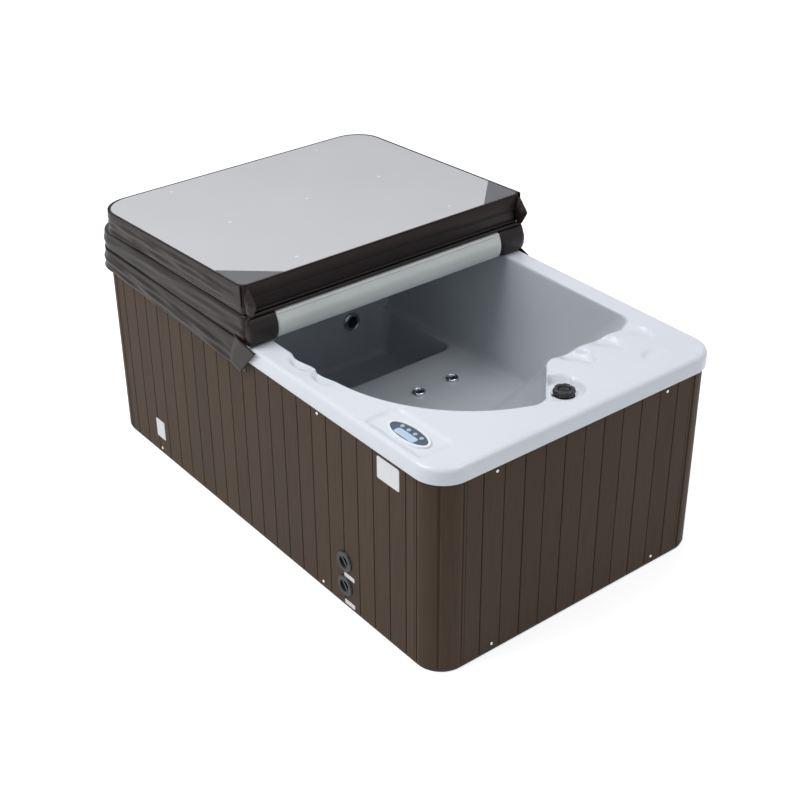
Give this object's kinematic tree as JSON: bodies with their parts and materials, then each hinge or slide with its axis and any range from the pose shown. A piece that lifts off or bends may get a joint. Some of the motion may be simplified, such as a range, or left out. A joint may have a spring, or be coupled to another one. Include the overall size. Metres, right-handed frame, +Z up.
{
  "type": "hot tub",
  "caption": "Compact oblong hot tub: moulded acrylic shell with facing seats and a foot well, boarded cabinet, deck controls and a folding foam cover.",
  "frame": {"origin": "on the floor under the middle of the cabinet", "axes": "+Z up, +Y along the tub from the control end to the covered end, -X the side with the hose ports"},
  "size_m": [1.2212, 2.0073, 0.9898],
  "materials": {
    "acrylic_shell": "glossy cast acrylic sheet, white",
    "cabinet_board": "matt dark brown moulded boards",
    "base_plastic": "matt black moulded tray",
    "frame_steel": "painted square tube",
    "timber": "planed softwood",
    "jet_black": "satin black moulding",
    "jet_chrome": "polished ring",
    "pipe_plastic": "white pressure pipe",
    "grille_grey": "satin grey moulding",
    "bezel_white": "glossy white moulding",
    "display_lens": "dark blue-grey glossy overlay",
    "button_rubber": "pale grey keypad rubber",
    "motor_paint": "dark painted casting",
    "pump_black": "glass-filled black moulding",
    "control_case": "grey moulded case",
    "heater_steel": "brushed stainless tube",
    "cover_vinyl": "grained dark brown vinyl",
    "cover_liner": "pale grey coated liner",
    "seal_vinyl": "pale grey padded vinyl"
  },
  "bodies": {
    "tub": {"base_pan": "base_plastic", "frame_bottom_ring": "frame_steel", "frame_top_ring": "frame_steel", "frame_posts": "frame_steel", "bearers": "timber", "front_panel": "cabinet_board", "right_panel": "cabinet_board", "rear_panel": "cabinet_board", "left_panel": "cabinet_board", "corner_front_left": "cabinet_board", "corner_front_right": "cabinet_board", "corner_rear_left": "cabinet_board", "corner_rear_right": "cabinet_board", "tub_shell": "acrylic_shell", "jet_bodies": "pipe_plastic", "jet_rings": "jet_chrome", "control_bezel": "bezel_white", "control_lens": "display_lens", "knob_escutcheon": "jet_chrome", "diverter_valve": "pipe_plastic", "suction_grille": "grille_grey", "suction_body": "pipe_plastic", "hose_ports": "jet_black", "pump_motor": "motor_paint", "pump_cradle": "pump_black", "pump_wet_end": "pump_black", "suction_pipe": "pipe_plastic", "control_box": "control_case", "heater_tube": "heater_steel", "return_pipe": "pipe_plastic", "jet_manifold": "pipe_plastic", "air_blower": "pump_black"},
    "cover_rear": {"cover_rear_foam": "cover_vinyl", "cover_rear_liner": "cover_liner", "cover_rear_flap": "cover_vinyl", "cover_flap_tabs": "cover_vinyl", "cover_seal": "seal_vinyl", "cover_seal_ends": "cover_vinyl", "cover_fold_welt": "cover_vinyl"},
    "cover_front": {"cover_front_foam": "cover_vinyl", "cover_front_liner": "cover_liner", "cover_grommets": "grille_grey"},
    "cover_front_skirt": {"cover_front_flap": "cover_vinyl", "cover_handles": "cover_vinyl"},
    "diverter_knob": {"diverter_knob": "jet_black"},
    "hose_cap_upper": {"hose_cap_upper": "jet_black"},
    "hose_cap_lower": {"hose_cap_lower": "jet_black"},
    "riser_jet_right": {"riser_jet_right": "jet_black"},
    "riser_jet_left": {"riser_jet_left": "jet_black"},
    "seat_jet_inner_right": {"seat_jet_inner_right": "jet_black"},
    "seat_jet_outer_right": {"seat_jet_outer_right": "jet_black"},
    "seat_jet_inner_left": {"seat_jet_inner_left": "jet_black"},
    "seat_jet_outer_left": {"seat_jet_outer_left": "jet_black"},
    "front_back_jet_right": {"front_back_jet_right": "jet_black"},
    "front_back_jet_left": {"front_back_jet_left": "jet_black"},
    "button_jets": {"button_jets": "button_rubber"},
    "button_light": {"button_light": "button_rubber"},
    "button_cooler": {"button_cooler": "button_rubber"},
    "button_warmer": {"button_warmer": "button_rubber"}
  },
  "joints": [
    {"name": "cover_lift", "type": "slide", "parent": "tub", "child": "cover_rear", "axis": [0, 0, 1], "range_m": [0, 0.25]},
    {"name": "cover_fold", "type": "hinge", "parent": "cover_rear", "child": "cover_front", "pos_m": [0, -0.029, 0.88025], "axis": [1, 0, 0], "range_deg": [0, 182.66]},
    {"name": "front_flap_drop", "type": "slide", "parent": "cover_front", "child": "cover_front_skirt", "axis": [0, 0.0464, 0.9989], "range_m": [0, 0.08]},
    {"name": "knob_turn", "type": "hinge", "parent": "tub", "child": "diverter_knob", "pos_m": [0.035, -0.852, 0.74], "axis": [0, 0, 1], "range_deg": [-90, 90]},
    {"name": "hose_cap_upper_turn", "type": "hinge", "parent": "tub", "child": "hose_cap_upper", "pos_m": [-0.59, -0.521, 0.187], "axis": [-1, 0, 0], "range_deg": [0, 90]},
    {"name": "hose_cap_lower_turn", "type": "hinge", "parent": "tub", "child": "hose_cap_lower", "pos_m": [-0.59, -0.521, 0.089], "axis": [-1, 0, 0], "range_deg": [0, 90]},
    {"name": "riser_jet_right_turn", "type": "hinge", "parent": "tub", "child": "riser_jet_right", "pos_m": [0.279, 0.60127, 0.311], "axis": [0, -0.9982, 0.0605], "range_deg": [0, 120]},
    {"name": "riser_jet_left_turn", "type": "hinge", "parent": "tub", "child": "riser_jet_left", "pos_m": [-0.249, 0.60127, 0.311], "axis": [0, -0.9982, 0.0605], "range_deg": [0, 120]},
    {"name": "seat_jet_inner_right_turn", "type": "hinge", "parent": "tub", "child": "seat_jet_inner_right", "pos_m": [0.118, -0.029, 0.33], "axis": [0, 0, 1], "range_deg": [0, 120]},
    {"name": "seat_jet_outer_right_turn", "type": "hinge", "parent": "tub", "child": "seat_jet_outer_right", "pos_m": [0.278, -0.029, 0.33], "axis": [0, 0, 1], "range_deg": [0, 120]},
    {"name": "seat_jet_inner_left_turn", "type": "hinge", "parent": "tub", "child": "seat_jet_inner_left", "pos_m": [-0.118, -0.029, 0.33], "axis": [0, 0, 1], "range_deg": [0, 120]},
    {"name": "seat_jet_outer_left_turn", "type": "hinge", "parent": "tub", "child": "seat_jet_outer_left", "pos_m": [-0.278, -0.029, 0.33], "axis": [0, 0, 1], "range_deg": [0, 120]},
    {"name": "front_back_jet_right_turn", "type": "hinge", "parent": "tub", "child": "front_back_jet_right", "pos_m": [0.37, -0.50991, 0.56], "axis": [0, 0.7467, 0.6652], "range_deg": [0, 120]},
    {"name": "front_back_jet_left_turn", "type": "hinge", "parent": "tub", "child": "front_back_jet_left", "pos_m": [0.22, -0.50991, 0.56], "axis": [0, 0.7467, 0.6652], "range_deg": [0, 120]},
    {"name": "button_jets_press", "type": "slide", "parent": "tub", "child": "button_jets", "axis": [0, 0, -1], "range_m": [0, 0.0015], "stiffness_N_per_m": 400},
    {"name": "button_light_press", "type": "slide", "parent": "tub", "child": "button_light", "axis": [0, 0, -1], "range_m": [0, 0.0015], "stiffness_N_per_m": 400},
    {"name": "button_cooler_press", "type": "slide", "parent": "tub", "child": "button_cooler", "axis": [0, 0, -1], "range_m": [0, 0.0015], "stiffness_N_per_m": 400},
    {"name": "button_warmer_press", "type": "slide", "parent": "tub", "child": "button_warmer", "axis": [0, 0, -1], "range_m": [0, 0.0015], "stiffness_N_per_m": 400}
  ],
  "couplings": [
    {"joint": "front_flap_drop", "follows": "cover_fold", "m_per_rad": 0.023212}
  ]
}
